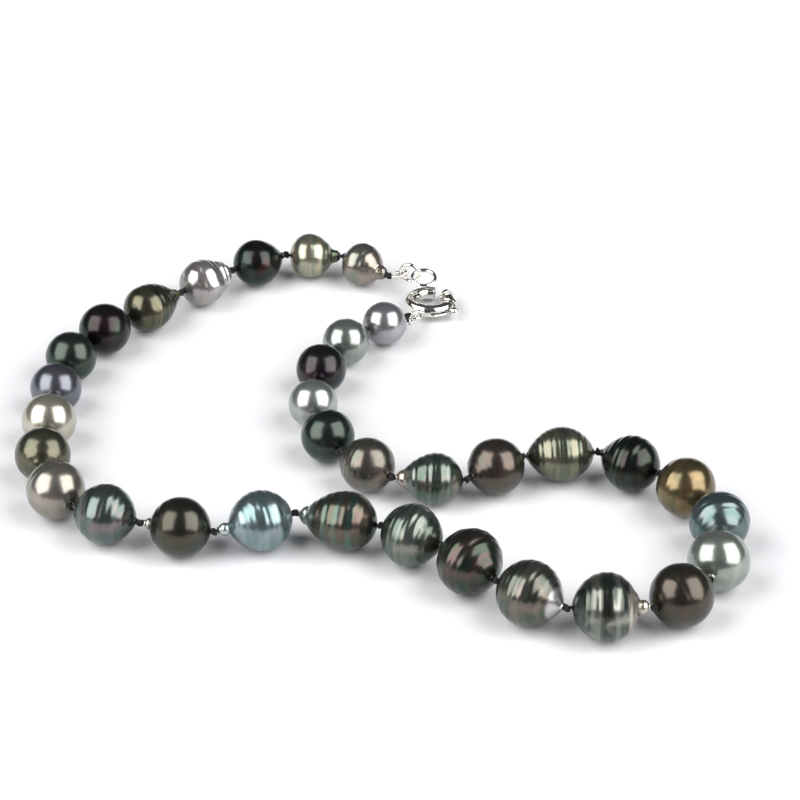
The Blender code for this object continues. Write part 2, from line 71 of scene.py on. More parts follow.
# Shape of each pearl: where along its length it is widest, how far its low and its high end run
# out to a point, a nib at the low or the high end (radius and reach in mm), how lumpy it is, in
# mm, and its circling grooves (share of the length, depth and half width in mm).
SHAPES = (
    (0.58, 0.5, 0.0, (1.35, 1.1), None, 0.16, ((0.1, 0.16, 0.2), (0.21, 0.16, 0.3),
        (0.33, 0.12, 0.3), (0.46, 0.1, 0.3), (0.6, 0.07, 0.3))),
    (0.57, 0.45, 0.0, (1.25, 0.9), None, 0.12, ((0.1, 0.26, 0.16), (0.19, 0.24, 0.2),
        (0.29, 0.14, 0.24), (0.52, 0.03, 0.4))),
    (0.56, 0.75, 0.1, None, None, 0.1, ((0.12, 0.08, 0.35), (0.3, 0.04, 0.4), (0.72, 0.04, 0.4))),
    (0.5, 0.0, 0.0, (2.7, 1.9), None, 0.55, ((0.1, 0.16, 0.22), (0.19, 0.18, 0.2), (0.3, 0.2, 0.28),
        (0.42, 0.1, 0.22), (0.58, 0.08, 0.25), (0.74, 0.06, 0.25))),
    (0.62, 0.7, 0.0, (1.3, 0.25), None, 0.12, ((0.09, 0.12, 0.22), (0.17, 0.14, 0.22),
        (0.25, 0.13, 0.22), (0.34, 0.12, 0.24), (0.43, 0.1, 0.24), (0.53, 0.08, 0.26),
        (0.64, 0.06, 0.28))),
    (0.5, 0.0, 0.0, None, None, 0.06, ((0.3, 0.02, 0.5),)),
    (0.5, 0.0, 0.0, None, None, 0.1, ((0.14, 0.06, 0.25), (0.21, 0.04, 0.25))),
    (0.5, 0.0, 0.0, None, None, 0.06, ((0.7, 0.02, 0.5),)),
    (0.5, 0.0, 0.0, None, None, 0.06, ((0.24, 0.02, 0.4),)),
    (0.48, 0.0, 0.3, None, None, 0.08, ((0.8, 0.1, 0.3), (0.91, 0.2, 0.25), (0.25, 0.03, 0.4))),
    (0.5, 0.1, 0.1, None, None, 0.12, ((0.4, 0.14, 0.32), (0.62, 0.03, 0.4))),
    (0.5, 0.3, 0.5, None, None, 0.16, ((0.1, 0.2, 0.22), (0.2, 0.14, 0.24), (0.31, 0.12, 0.26),
        (0.43, 0.08, 0.3), (0.56, 0.09, 0.3), (0.68, 0.12, 0.28), (0.81, 0.2, 0.28),
        (0.9, 0.16, 0.24))),
    (0.52, 0.1, 0.1, (1.0, 0.9), None, 0.1, ((0.13, 0.24, 0.22), (0.22, 0.16, 0.24),
        (0.33, 0.05, 0.3), (0.8, 0.06, 0.3))),
    (0.52, 0.3, 0.1, (1.1, 1.7), None, 0.14, ((0.21, 0.14, 0.24), (0.29, 0.12, 0.24),
        (0.38, 0.11, 0.26), (0.47, 0.1, 0.26), (0.57, 0.12, 0.26), (0.68, 0.11, 0.26),
        (0.8, 0.12, 0.26), (0.9, 0.12, 0.24))),
    (0.62, 0.7, 0.1, (1.6, 0.3), None, 0.14, ((0.12, 0.06, 0.26), (0.22, 0.12, 0.26),
        (0.3, 0.12, 0.26), (0.4, 0.11, 0.28), (0.5, 0.1, 0.28), (0.6, 0.1, 0.28), (0.7, 0.12, 0.28),
        (0.8, 0.12, 0.28), (0.89, 0.1, 0.26))),
    (0.47, 0.1, 0.5, None, None, 0.22, ((0.12, 0.14, 0.26), (0.22, 0.14, 0.28), (0.32, 0.13, 0.28),
        (0.42, 0.12, 0.28), (0.52, 0.12, 0.28), (0.62, 0.14, 0.28), (0.72, 0.15, 0.28),
        (0.82, 0.18, 0.26), (0.9, 0.14, 0.22))),
    (0.48, 0.1, 0.5, None, None, 0.18, ((0.14, 0.1, 0.3), (0.27, 0.12, 0.3), (0.4, 0.1, 0.3),
        (0.52, 0.1, 0.3), (0.64, 0.13, 0.3), (0.76, 0.16, 0.28), (0.87, 0.18, 0.26))),
    (0.45, 0.1, 0.8, None, None, 0.16, ((0.1, 0.1, 0.28), (0.2, 0.12, 0.28), (0.3, 0.12, 0.28),
        (0.4, 0.12, 0.28), (0.5, 0.13, 0.28), (0.6, 0.14, 0.28), (0.7, 0.14, 0.26),
        (0.8, 0.12, 0.24))),
    (0.5, 0.1, 0.3, None, (1.25, 1.3), 0.14, ((0.1, 0.1, 0.28), (0.21, 0.12, 0.28),
        (0.33, 0.12, 0.28), (0.45, 0.11, 0.28), (0.57, 0.12, 0.28), (0.69, 0.14, 0.28),
        (0.8, 0.16, 0.26), (0.88, 0.2, 0.22))),
    (0.5, 0.0, 0.0, None, None, 0.12, ((0.3, 0.06, 0.25), (0.66, 0.03, 0.4))),
    (0.5, 0.0, 0.1, (0.8, 0.5), None, 0.12, ((0.09, 0.12, 0.22), (0.62, 0.05, 0.28),
        (0.72, 0.09, 0.26), (0.82, 0.12, 0.24), (0.91, 0.12, 0.22))),
    (0.5, 0.1, 0.1, None, None, 0.14, ((0.16, 0.1, 0.26), (0.29, 0.11, 0.28), (0.43, 0.09, 0.28),
        (0.57, 0.1, 0.28), (0.71, 0.12, 0.28), (0.84, 0.12, 0.26))),
    (0.5, 0.1, 0.2, None, None, 0.14, ((0.5, 0.06, 0.34), (0.63, 0.09, 0.32), (0.76, 0.12, 0.3),
        (0.88, 0.12, 0.26))),
    (0.45, 0.1, 0.7, None, None, 0.14, ((0.14, 0.08, 0.28), (0.28, 0.1, 0.28), (0.42, 0.1, 0.28),
        (0.55, 0.12, 0.28), (0.67, 0.14, 0.26), (0.78, 0.14, 0.24), (0.87, 0.1, 0.2))),
    (0.47, 0.2, 0.4, None, None, 0.1, ((0.08, 0.12, 0.2), (0.16, 0.1, 0.2), (0.24, 0.09, 0.2),
        (0.32, 0.08, 0.2), (0.4, 0.08, 0.2), (0.48, 0.08, 0.2), (0.56, 0.09, 0.2), (0.64, 0.1, 0.2),
        (0.72, 0.11, 0.2), (0.8, 0.14, 0.2), (0.88, 0.16, 0.2), (0.94, 0.1, 0.18))),
    (0.48, 0.0, 0.35, None, None, 0.12, ((0.48, 0.04, 0.3), (0.8, 0.1, 0.28), (0.91, 0.14, 0.24))),
    (0.41, 0.1, 0.7, None, (1.5, 0.3), 0.14, ((0.14, 0.1, 0.26), (0.26, 0.12, 0.26),
        (0.38, 0.12, 0.26), (0.5, 0.14, 0.26), (0.61, 0.15, 0.24), (0.71, 0.14, 0.22),
        (0.8, 0.1, 0.2))),
    (0.46, 0.1, 0.5, None, None, 0.14, ((0.44, 0.06, 0.28), (0.55, 0.09, 0.28), (0.66, 0.12, 0.26),
        (0.77, 0.14, 0.24), (0.87, 0.14, 0.22))),
    (0.45, 0.0, 0.5, None, None, 0.18, ((0.6, 0.08, 0.26), (0.72, 0.2, 0.24), (0.82, 0.18, 0.22),
        (0.91, 0.14, 0.2))),
    (0.45, 0.0, 0.4, None, None, 0.08, ((0.82, 0.1, 0.26), (0.92, 0.14, 0.22))),
    (0.5, 0.0, 0.1, None, None, 0.1, ((0.72, 0.06, 0.26), (0.84, 0.1, 0.24))),
    (0.5, 0.0, 0.0, None, None, 0.08, ((0.66, 0.06, 0.26), (0.78, 0.08, 0.24), (0.89, 0.08, 0.22))),
    (0.5, 0.0, 0.0, None, None, 0.05, ((0.4, 0.02, 0.5),)),
)

# Nacre of each pearl: body colour, overtone and blush, how strongly the overtone lies in bands
# round it, how much blush it has, and the strength of the finest growth rings.
NACRES = (
    ((0.244, 0.209, 0.185), (0.137, 0.166, 0.137), (0.363, 0.275, 0.246), 0.8, 0.7, 0.7),
    ((0.406, 0.360, 0.260), (0.151, 0.198, 0.157), (0.518, 0.448, 0.343), 0.7, 0.7, 0.4),
    ((0.012, 0.015, 0.016), (0.022, 0.042, 0.041), (0.084, 0.034, 0.030), 0.6, 0.7, 0.2),
    ((0.359, 0.353, 0.353), (0.234, 0.176, 0.129), (0.568, 0.568, 0.568), 0.4, 0.8, 0.8),
    ((0.094, 0.088, 0.058), (0.032, 0.042, 0.030), (0.194, 0.171, 0.112), 1.0, 0.5, 0.7),
    ((0.014, 0.013, 0.016), (0.040, 0.020, 0.034), (0.024, 0.056, 0.038), 0.5, 0.8, 0.1),
    ((0.034, 0.046, 0.040), (0.023, 0.052, 0.043), (0.065, 0.056, 0.048), 0.4, 0.4, 0.2),
    ((0.123, 0.126, 0.153), (0.095, 0.118, 0.130), (0.174, 0.151, 0.180), 0.3, 0.5, 0.1),
    ((0.432, 0.403, 0.339), (0.331, 0.354, 0.296), (0.563, 0.517, 0.446), 0.3, 0.6, 0.1),
    ((0.092, 0.089, 0.062), (0.057, 0.074, 0.057), (0.157, 0.122, 0.081), 0.5, 0.5, 0.3),
    ((0.263, 0.234, 0.204), (0.178, 0.202, 0.172), (0.367, 0.291, 0.261), 0.5, 0.6, 0.3),
    ((0.105, 0.126, 0.122), (0.052, 0.090, 0.082), (0.228, 0.150, 0.152), 0.9, 0.7, 0.6),
    ((0.046, 0.043, 0.034), (0.025, 0.037, 0.034), (0.087, 0.070, 0.055), 0.5, 0.4, 0.3),
    ((0.209, 0.262, 0.285), (0.128, 0.198, 0.198), (0.317, 0.328, 0.369), 0.9, 0.6, 0.7),
    ((0.069, 0.060, 0.046), (0.056, 0.097, 0.080), (0.166, 0.102, 0.096), 1.0, 0.5, 0.7),
    ((0.128, 0.150, 0.134), (0.052, 0.078, 0.065), (0.270, 0.240, 0.200), 1.0, 0.7, 0.8),
    ((0.059, 0.043, 0.040), (0.024, 0.044, 0.032), (0.112, 0.062, 0.071), 0.9, 0.5, 0.7),
    ((0.105, 0.106, 0.092), (0.058, 0.070, 0.057), (0.200, 0.150, 0.125), 1.0, 0.7, 0.8),
    ((0.149, 0.160, 0.137), (0.033, 0.042, 0.037), (0.389, 0.377, 0.336), 1.2, 0.7, 0.8),
    ((0.060, 0.048, 0.041), (0.041, 0.050, 0.041), (0.106, 0.068, 0.060), 0.5, 0.4, 0.2),
    ((0.315, 0.339, 0.304), (0.206, 0.258, 0.229), (0.439, 0.422, 0.398), 0.5, 0.6, 0.4),
    ((0.116, 0.151, 0.157), (0.078, 0.131, 0.125), (0.208, 0.185, 0.202), 0.8, 0.5, 0.5),
    ((0.169, 0.122, 0.063), (0.083, 0.083, 0.045), (0.273, 0.185, 0.103), 0.7, 0.6, 0.4),
    ((0.015, 0.015, 0.015), (0.019, 0.031, 0.026), (0.046, 0.029, 0.028), 0.8, 0.4, 0.5),
    ((0.160, 0.160, 0.113), (0.082, 0.099, 0.073), (0.270, 0.241, 0.194), 0.9, 0.6, 0.9),
    ((0.076, 0.061, 0.053), (0.055, 0.066, 0.052), (0.138, 0.091, 0.082), 0.5, 0.5, 0.3),
    ((0.135, 0.152, 0.138), (0.052, 0.084, 0.068), (0.276, 0.200, 0.175), 1.0, 0.7, 0.7),
    ((0.129, 0.109, 0.094), (0.084, 0.107, 0.084), (0.217, 0.153, 0.141), 0.8, 0.6, 0.5),
    ((0.034, 0.044, 0.041), (0.022, 0.042, 0.037), (0.073, 0.064, 0.062), 0.8, 0.4, 0.5),
    ((0.333, 0.357, 0.333), (0.242, 0.300, 0.265), (0.474, 0.457, 0.439), 0.4, 0.6, 0.2),
    ((0.022, 0.020, 0.026), (0.018, 0.032, 0.030), (0.074, 0.046, 0.050), 0.5, 0.7, 0.3),
    ((0.273, 0.297, 0.273), (0.189, 0.241, 0.212), (0.389, 0.371, 0.359), 0.5, 0.6, 0.3),
    ((0.328, 0.328, 0.346), (0.252, 0.281, 0.287), (0.441, 0.417, 0.441), 0.3, 0.6, 0.1),
)

# Pearls whose one end has its own colour: the end, where along it the colour starts and is
# full (0 at the middle of the pearl, 1 at the end), and the colour.
TIPS = {
    1: (-1, 0.50, 0.80, (0.20, 0.18, 0.15)),
    2: (-1, 0.50, 0.72, (0.09, 0.12, 0.08)),
    4: (-1, 0.35, 0.70, (0.62, 0.61, 0.58)),
    13: (-1, 0.80, 0.90, (0.42, 0.44, 0.42)),
    14: (-1, 0.72, 0.86, (0.40, 0.44, 0.44)),
    15: (-1, 0.48, 0.78, (0.36, 0.42, 0.37)),
    16: (1, 0.60, 0.95, (0.06, 0.07, 0.05)),
    18: (1, 0.66, 0.76, (0.46, 0.45, 0.46)),
    19: (1, 0.40, 0.52, (0.46, 0.43, 0.37)),
    24: (1, 0.75, 0.95, (0.03, 0.03, 0.03)),
    27: (1, 0.62, 0.82, (0.34, 0.29, 0.24)),
}


# ---------------------------------------------------------------- settings
def length(**details):
    """A length shown to a hundredth of a millimetre."""
    return bpy.props.FloatProperty(unit="LENGTH", precision=5, **details)


def rotation(**details):
    """An angle shown in degrees."""
    return bpy.props.FloatProperty(unit="ROTATION", **details)


class PearlSettings(bpy.types.PropertyGroup):
    """How finely the pearls are turned, and their surface."""

    sides: bpy.props.IntProperty(
        name="Sides", description="Points round each pearl", default=64, min=12
    )
    stations: bpy.props.IntProperty(
        name="Stations", description="Points along each pearl's outline", default=76, min=24
    )
    bore: length(name="Bore", description="Radius of the drilled hole", default=0.5 * MM)
    lip: length(name="Lip", description="Flat rim round each mouth of the hole", default=0.12 * MM)
    knot_gap: length(
        name="Knot gap", description="From one pearl's end to the next", default=1.4 * MM
    )
    groove: bpy.props.FloatProperty(
        name="Grooves", description="Share of each groove's depth", default=0.75, subtype="FACTOR"
    )
    groove_width: bpy.props.FloatProperty(
        name="Groove width", description="Share of each groove's half width", default=1.5
    )
    roughness: bpy.props.FloatProperty(
        name="Roughness",
        description="Softness of the nacre under its gloss",
        default=0.22,
        subtype="FACTOR",
    )
    lustre: bpy.props.FloatProperty(
        name="Lustre", description="How metallic the nacre looks", default=0.85, subtype="FACTOR"
    )


class SilkSettings(bpy.types.PropertyGroup):
    """The stringing silk and the French wire at its ends."""

    cord: length(name="Cord", description="Radius of the silk cord", default=0.24 * MM)
    loop_cord: length(
        name="Loop cord", description="Radius of the cord in the end loops", default=0.16 * MM
    )
    knot: length(name="Knot", description="Radius of a knot", default=0.68 * MM)
    knot_half: length(
        name="Knot half length", description="Half of a knot along the cord", default=0.55 * MM
    )
    colour: bpy.props.FloatVectorProperty(
        name="Silk",
        description="Colour of the silk",
        default=(0.006, 0.0055, 0.0055),
        subtype="COLOR",
    )
    gimp: length(name="Gimp", description="Outer radius of the French wire", default=0.4 * MM)
    gimp_wire: length(
        name="Gimp wire", description="Radius of the wire it is coiled from", default=0.075 * MM
    )
    gimp_start: length(
        name="Gimp start", description="From the last knot to the loop's mouths", default=1.0 * MM
    )
    gimp_mouth: length(
        name="Gimp mouth", description="Half the distance between the mouths", default=0.62 * MM
    )
    eye: length(name="Eye", description="Radius of the loop's eye", default=0.95 * MM)
    eye_place: length(
        name="Eye place", description="From the last knot to the eye", default=2.5 * MM
    )


class ClaspSettings(bpy.types.PropertyGroup):
    """The bolt ring and the two loose rings."""

    ring: length(
        name="Ring", description="Centre of the clasp to the middle of its tube", default=3.4 * MM
    )
    tube: length(name="Tube", description="Radius of the tube", default=1.1 * MM)
    tube_bore: length(name="Tube bore", description="Radius inside the tube", default=0.75 * MM)
    mouth: bpy.props.FloatVectorProperty(
        name="Mouth",
        description="The two edges of the mouth",
        size=2,
        default=(math.radians(-58), math.radians(-22)),
        unit="ROTATION",
    )
    bolt: length(name="Bolt", description="Radius of the bolt", default=0.55 * MM)
    bolt_ends: bpy.props.FloatVectorProperty(
        name="Bolt ends",
        description="The two ends of the bolt",
        size=2,
        default=(math.radians(-112), math.radians(-14)),
        unit="ROTATION",
    )
    lever: rotation(name="Lever", description="Where the lever stands", default=math.radians(-100))
    travel: rotation(
        name="Travel", description="How far the bolt slides back", default=math.radians(44)
    )
    ball: length(name="Ball", description="Radius of the lever's ball", default=0.8 * MM)
    ball_reach: length(
        name="Ball reach", description="From the middle of the tube to the ball", default=1.9 * MM
    )
    eyelet: length(name="Eyelet", description="Radius of the eyelet", default=1.05 * MM)
    end_ring: length(
        name="End ring", description="Radius of the ring on the gimp", default=1.65 * MM
    )
    hook_ring: length(
        name="Hook ring", description="Radius of the ring that the clasp catches", default=2.05 * MM
    )
    wire: length(name="Wire", description="Radius of the rings' wire", default=0.35 * MM)
    tilt: rotation(
        name="Tilt", description="How far the hook ring's far side is up", default=math.radians(10)
    )
    silver: bpy.props.FloatVectorProperty(
        name="Silver",
        description="Colour of the polished silver",
        default=(0.90, 0.87, 0.82),
        subtype="COLOR",
    )


class StageSettings(bpy.types.PropertyGroup):
    """Floor, lights and camera."""

    floor: bpy.props.FloatProperty(
        name="Floor", description="Width of the floor", default=2.4, unit="LENGTH"
    )
    key: bpy.props.FloatProperty(
        name="Windows", description="Power of each side light", default=18.5, unit="POWER"
    )
    window: bpy.props.FloatVectorProperty(
        name="Window",
        description="Width and height of each side light",
        size=2,
        default=(0.94, 1.25),
        unit="LENGTH",
    )
    window_place: bpy.props.FloatVectorProperty(
        name="Window place",
        description="Middle of the right side light",
        default=(0.74, -0.27, 0.66),
        subtype="TRANSLATION",
    )
    window_lean: bpy.props.FloatVectorProperty(
        name="Window lean",
        description="Which way the right side light's upright edge runs",
        default=(-0.30, 0.80, 0.50),
        subtype="DIRECTION",
    )
    room: bpy.props.FloatProperty(
        name="Room", description="Brightness of the room overhead", default=1.0
    )
    target: bpy.props.FloatVectorProperty(
        name="Target",
        description="Point on the table at the middle of the view",
        default=(0.0036, 0.0146, 0.0),
        subtype="TRANSLATION",
    )
    elevation: rotation(
        name="Elevation",
        description="Height of the camera above the table",
        default=math.radians(33.6),
    )
    distance: bpy.props.FloatProperty(
        name="Distance", description="From the target to the camera", default=0.786, unit="LENGTH"
    )
    angle: rotation(name="View angle", description="Width of the view", default=math.radians(10.0))


# ---------------------------------------------------------------- materials
class Value:
    """A number that a node gives, with arithmetic that adds Math nodes."""

    def __init__(self, finish, socket):
        self.finish = finish
        self.socket = socket

    def maths(self, operation, *terms):
        return self.finish.node("ShaderNodeMath", {"operation": operation}, dict(enumerate(terms)))

    def __add__(self, other):
        return self.maths("ADD", self, other)

    __radd__ = __add__

    def __sub__(self, other):
        return self.maths("SUBTRACT", self, other)

    def __mul__(self, other):
        return self.maths("MULTIPLY", self, other)

    def __truediv__(self, other):
        return self.maths("DIVIDE", self, other)

    def __abs__(self):
        return self.maths("ABSOLUTE", self)

    def between(self, low, high):
        """0 at or under low, 1 at or over high, and smooth in between."""
        settings = {"interpolation_type": "SMOOTHSTEP"}
        inputs = {"Value": self, "From Min": low, "From Max": high}
        return self.finish.node("ShaderNodeMapRange", settings, inputs)


class Finish:
    """One material: its shader's constant sockets, and the nodes behind the others."""

    def __init__(self, name, **constants):
        self.material = bpy.data.materials.new(name)
        self.material.use_nodes = True
        self.tree = self.material.node_tree
        self.shader = self.tree.nodes["Principled BSDF"]
        for socket, value in constants.items():
            self.shader.inputs[socket.replace("_", " ")].default_value = value

    def node(self, kind, settings=None, inputs=None, output=0):
        made = self.tree.nodes.new(kind)
        for key, value in (settings or {}).items():
            setattr(made, key, value)
        for socket, value in (inputs or {}).items():
            self.give(made.inputs[socket], value)
        return Value(self, made.outputs[output])

    def give(self, socket, value):
        if isinstance(value, Value):
            self.tree.links.new(value.socket, socket)
        elif socket.type == "RGBA":
            socket.default_value = (*value, 1.0)
        else:
            socket.default_value = value

    def feed(self, **sockets):
        for socket, value in sockets.items():
            self.give(self.shader.inputs[socket.replace("_", " ")], value)

    def local(self, place=(0.0, 0.0, 0.0), heading=0.0):
        """Object coordinates about a place, X turned to a heading."""
        here = self.node("ShaderNodeTexCoord", output="Object")
        inputs = {"Vector": here, "Location": place, "Rotation": (0.0, 0.0, heading)}
        return self.node("ShaderNodeMapping", {"vector_type": "TEXTURE"}, inputs)

    def axis(self, vector, name):
        return self.node("ShaderNodeSeparateXYZ", inputs={"Vector": vector}, output=name)

    def noise(self, vector, scale, detail=2.0, distortion=0.0):
        inputs = {"Vector": vector, "Scale": scale, "Detail": detail, "Distortion": distortion}
        return self.node("ShaderNodeTexNoise", inputs=inputs)

    def noise_along(self, distance, scale, detail=1.0):
        settings = {"noise_dimensions": "1D"}
        inputs = {"W": distance, "Scale": scale, "Detail": detail}
        return self.node("ShaderNodeTexNoise", settings, inputs)

    def mix(self, share, first, second):
        settings = {"data_type": "RGBA"}
        return self.node("ShaderNodeMix", settings, {0: share, 6: first, 7: second}, output=2)

    def bump(self, height, strength, distance):
        inputs = {"Strength": strength, "Distance": distance, "Height": height}
        self.feed(Normal=self.node("ShaderNodeBump", inputs=inputs))


# How fine the nacre's patterns are, per metre.
WOBBLE = 150.0
BROAD_BANDS = 430.0
NARROW_BANDS = 1500.0
GROWTH_RINGS = 1250.0
PATCHES = 190.0
GRAIN = 2600.0


def nacre(pearl, settings):
    """Nacre in growth rings: bands of overtone round the pearl, blush in patches, painted shade at
    both ends, a hard gloss.
    """
    body, overtone, blush, banding, blushing, rings = NACRES[pearl.number - 1]
    finish = Finish(
        f"nacre_{pearl.number:02d}",
        Metallic=settings.lustre,
        IOR=1.62,
        Coat_Weight=0.2,
        Coat_Roughness=0.16,
        Coat_IOR=1.5,
        Thin_Film_Thickness=430.0,
        Thin_Film_IOR=1.45,
    )
    local = finish.local(pearl.centre, pearl.heading)
    wobble = finish.noise(local, WOBBLE, 1.0)
    lengthwise = finish.axis(local, "X") + (wobble - 0.5) * (0.9 * MM) + pearl.number * 0.31
    broad = finish.noise_along(lengthwise, BROAD_BANDS, 1.0)
    narrow = finish.noise_along(lengthwise, NARROW_BANDS, 1.0)
    patch = finish.noise(local, PATCHES, 3.0, 0.6)
    band = (broad.between(0.38, 0.60) * 0.75 + narrow.between(0.4, 0.66) * 0.35) * banding
    colour = finish.mix(band.between(0.0, 1.0), body, overtone)
    colour = finish.mix(patch.between(0.46, 0.72) * blushing, colour, blush)
    # Painted shade: the body colour darkens towards both ends of the pearl, where the knots and the
    # next pearls sit.
    pole = abs(finish.axis(local, "X")) / (pearl.length / 2)
    painted_end_shade = [0.55 * value for value in body]
    colour = finish.mix(pole.between(0.80, 1.0) * 0.6, colour, painted_end_shade)
    if pearl.number in TIPS:
        side, first, last, tip = TIPS[pearl.number]
        reach = finish.axis(local, "X") * (side * 2.0 / pearl.length)
        colour = finish.mix(reach.between(first, last), colour, tip)
    fine = finish.noise(local, GRAIN, 3.0)
    rough = settings.roughness + (patch - 0.5) * 0.10 + narrow * 0.05
    finish.feed(Base_Color=colour, Roughness=rough)
    ripple = finish.noise_along(lengthwise, GROWTH_RINGS, 0.8)
    finish.bump(ripple * (rings * 0.7) + patch * 0.5 + fine * 0.03, 0.30, 0.10 * MM)
    return finish.material


def silver_finish(colour):
    """Polished silver with faint handling marks."""
    finish = Finish("silver", Metallic=1.0, IOR=1.5)
    local = finish.local()
    cloud = finish.noise(local, 420.0, 3.0)
    hair = finish.noise(local, 5200.0, 4.0, 1.2)
    warm = [value * share for value, share in zip(colour, (0.93, 0.91, 0.88))]
    finish.feed(Base_Color=finish.mix(cloud.between(0.35, 0.7), colour, warm))
    finish.feed(Roughness=0.13 + cloud * 0.10 + hair.between(0.55, 0.8) * 0.08)
    finish.bump(hair, 0.12, 0.02 * MM)
    return finish.material


def silver_of(context):
    """The one silver that every silver piece shares."""
    return bpy.data.materials.get("silver") or silver_finish(context.scene.clasp_settings.silver)


def steel_finish():
    """Drawn spring wire."""
    finish = Finish("spring_steel", Metallic=1.0)
    grain = finish.noise(finish.local(), 6000.0, 3.0)
    finish.feed(Base_Color=finish.mix(grain, (0.42, 0.42, 0.43), (0.60, 0.60, 0.60)))
    finish.feed(Roughness=0.22 + grain * 0.12)
    finish.bump(grain, 0.2, 0.01 * MM)
    return finish.material


def silk_finish(colour):
    """Twisted silk: fine strands and a soft sheen."""
    finish = Finish("silk", Sheen_Weight=0.15, Sheen_Roughness=0.4, IOR=1.4)
    local = finish.local()
    strand = finish.noise(local, 9000.0, 2.0, 2.0)
    fuzz = finish.noise(local, 2600.0, 3.0)
    pale = [value * 3.2 for value in colour]
    finish.feed(Base_Color=finish.mix(strand.between(0.45, 0.75), colour, pale))
    finish.feed(Roughness=0.62 + fuzz * 0.25)
    finish.bump(strand + fuzz, 0.6, 0.05 * MM)
    return finish.material


def floor_finish():
    """A plain pale table with the least unevenness."""
    finish = Finish("floor", IOR=1.4)
    cloud = finish.noise(finish.local(), 9.0, 3.0)
    finish.feed(Base_Color=finish.mix(cloud, (0.68, 0.68, 0.695), (0.70, 0.70, 0.715)))
    finish.feed(Roughness=0.55 + cloud * 0.1)
    return finish.material


# ---------------------------------------------------------------- modelling helpers
def deselect():
    if bpy.context.mode != "OBJECT":
        bpy.ops.object.mode_set(mode="OBJECT")
    bpy.ops.object.select_all(action="DESELECT")


def choose(obj):
    """Makes an object the only one selected, and active."""
    deselect()
    obj.select_set(True)
    bpy.context.view_layer.objects.active = obj


def start(name, operator, **sizes):
    """Adds a primitive with nothing else selected, and names it."""
    deselect()
    operator(**sizes)
    made = bpy.context.object
    made.name = name
    made.data.name = name
    return made


def edit(obj, mode="VERT"):
    choose(obj)
    bpy.ops.object.mode_set(mode="EDIT")
    bpy.ops.mesh.select_mode(type=mode)


def pick(obj, kind, test):
    """Selects the vertices, edges or faces that pass a test, in edit mode."""
    bpy.ops.mesh.select_all(action="DESELECT")
    work = bmesh.from_edit_mesh(obj.data)
    for item in getattr(work, kind):
        if test(item):
            item.select_set(True)
    work.select_flush_mode()
    bmesh.update_edit_mesh(obj.data)


def leave_outward(merge=0.0):
    """Merges points this close, turns every face outward and leaves edit mode."""
    bpy.ops.mesh.select_all(action="SELECT")
    if merge:
        bpy.ops.mesh.remove_doubles(threshold=merge)
    bpy.ops.mesh.normals_make_consistent(inside=False)
    bpy.ops.object.mode_set(mode="OBJECT")


def put(obj, matrix=None):
    """Places an object and leaves the place in its mesh."""
    choose(obj)
    if matrix is not None:
        obj.matrix_world = matrix @ obj.matrix_world
    bpy.ops.object.transform_apply(location=True, rotation=True, scale=True)
    return obj


def refine(obj, kind, **settings):
    """Adds a modifier and applies it."""
    choose(obj)
    modifier = obj.modifiers.new(kind.title(), kind)
    for key, value in settings.items():
        setattr(modifier, key, value)
    bpy.ops.object.modifier_apply(modifier=modifier.name)
    return obj


def smooth(obj, degrees=40.0):
    choose(obj)
    bpy.ops.object.shade_smooth_by_angle(angle=math.radians(degrees))
    return obj


def join(pieces):
    deselect()
    for piece in pieces:
        piece.select_set(True)
    bpy.context.view_layer.objects.active = pieces[0]
    bpy.ops.object.join()
    return pieces[0]


def finish_piece(obj, material, body, slot, *nodes):
    """Gives a piece its material and body, and hides the CAD nodes that it stands for; the slot is
    not used.
    """
    obj.data.materials.clear()
    obj.data.materials.append(material)
    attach(obj, body)
    if nodes:
        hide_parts(*nodes)
    return obj


def swept(name, points, radius, sides, cyclic=False):
    """A round wire along points, made a mesh with closed ends."""
    data = bpy.data.curves.new(name, "CURVE")
    data.dimensions = "3D"
    data.bevel_depth = radius
    data.bevel_resolution = sides
    data.use_fill_caps = not cyclic
    spline = data.splines.new("POLY")
    spline.use_cyclic_u = cyclic
    spline.points.add(len(points) - 1)
    for i, place in enumerate(points):
        spline.points[i].co = (*place, 1.0)
    made = bpy.data.objects.new(name, data)
    bpy.context.scene.collection.objects.link(made)
    choose(made)
    bpy.ops.object.convert(target="MESH")
    made = bpy.context.object
    edit(made)
    leave_outward(1e-7)
    return made


def turned(name, profile, sides):
    """Draws a closed profile point by point and spins it round the X axis."""
    obj = start(name, bpy.ops.mesh.primitive_plane_add, size=MM)
    edit(obj)
    bpy.ops.mesh.select_all(action="SELECT")
    bpy.ops.mesh.merge(type="CENTER")
    bpy.ops.transform.translate(value=profile[0])
    for before, after in zip(profile, profile[1:]):
        bpy.ops.mesh.extrude_region_move(TRANSFORM_OT_translate={"value": after - before})
    bpy.ops.mesh.select_all(action="SELECT")
    bpy.ops.mesh.spin(steps=sides, angle=math.tau, center=(0, 0, 0), axis=(1, 0, 0))
    leave_outward(2e-6)
    return obj


def arc_tube(name, ring, radius, first, last, sides, steps):
    """An open tube round the Z axis, spun from a circle between two angles."""
    obj = start(
        name,
        bpy.ops.mesh.primitive_circle_add,
        vertices=sides,
        radius=radius,
        location=(ring, 0.0, 0.0),
        rotation=(math.pi / 2, 0.0, 0.0),
    )
    put(obj)
    edit(obj)
    bpy.ops.mesh.select_all(action="SELECT")
    bpy.ops.mesh.spin(steps=steps, angle=last - first, center=(0, 0, 0), axis=(0, 0, 1))
    leave_outward()
    return put(obj, Matrix.Rotation(first, 4, "Z"))


def close_ends(obj):
    """Fills the open ends of a tube."""
    edit(obj, "EDGE")
    pick(obj, "edges", lambda edge: edge.is_boundary)
    bpy.ops.mesh.fill_holes(sides=0)
    leave_outward()


def middle(node):
    low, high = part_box(node)
    return (low + high) / 2


def heading_of(step):
    return math.atan2(step.y, step.x)


def along(angle):
    return Vector((math.cos(angle), math.sin(angle), 0.0))


